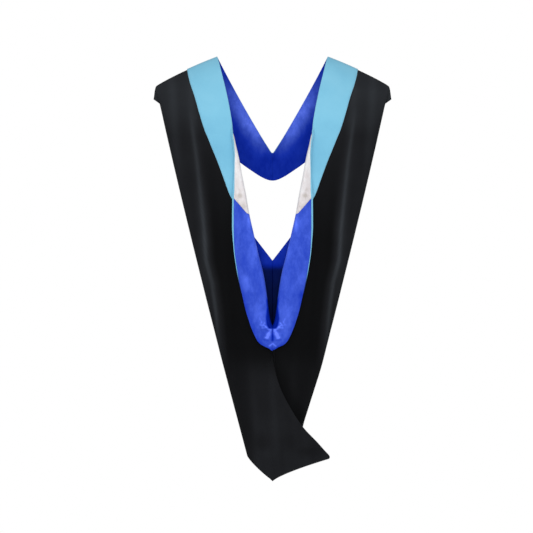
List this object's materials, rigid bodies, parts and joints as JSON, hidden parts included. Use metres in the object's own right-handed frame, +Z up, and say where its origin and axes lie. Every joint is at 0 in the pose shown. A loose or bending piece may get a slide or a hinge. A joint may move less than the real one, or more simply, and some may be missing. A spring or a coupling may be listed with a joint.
{
  "type": "academic hood",
  "caption": "Academic hood of black cloth as worn on the shoulders, with a light blue velvet edge, a royal blue lining turned out at the back, a white chevron and a tail folded over.",
  "frame": {"origin": "the middle of the neck opening, between the two highest points of the neck edge on the shoulders", "axes": "+Z up, +Y towards the wearer's chest, -Y towards the back where the lining is turned out, +X towards the wearer's right; the middle seams lie in X = 0"},
  "size_m": [0.5964, 0.2562, 1.0632],
  "materials": {
    "black_cloth": "matte plain-woven cloth",
    "light_blue_velvet": "short-pile velvet",
    "royal_blue_satin": "lightly creased satin",
    "white_satin": "lightly creased satin"
  },
  "bodies": {
    "root": {"shell_left": "black_cloth", "shell_right": "black_cloth", "velvet_trim_left": "light_blue_velvet", "velvet_trim_right": "light_blue_velvet", "front_lining_left": "royal_blue_satin", "front_lining_right": "royal_blue_satin", "back_lining_left": "royal_blue_satin", "back_lining_right": "royal_blue_satin", "chevron_left": "white_satin", "chevron_right": "white_satin"}
  },
  "joints": []
}
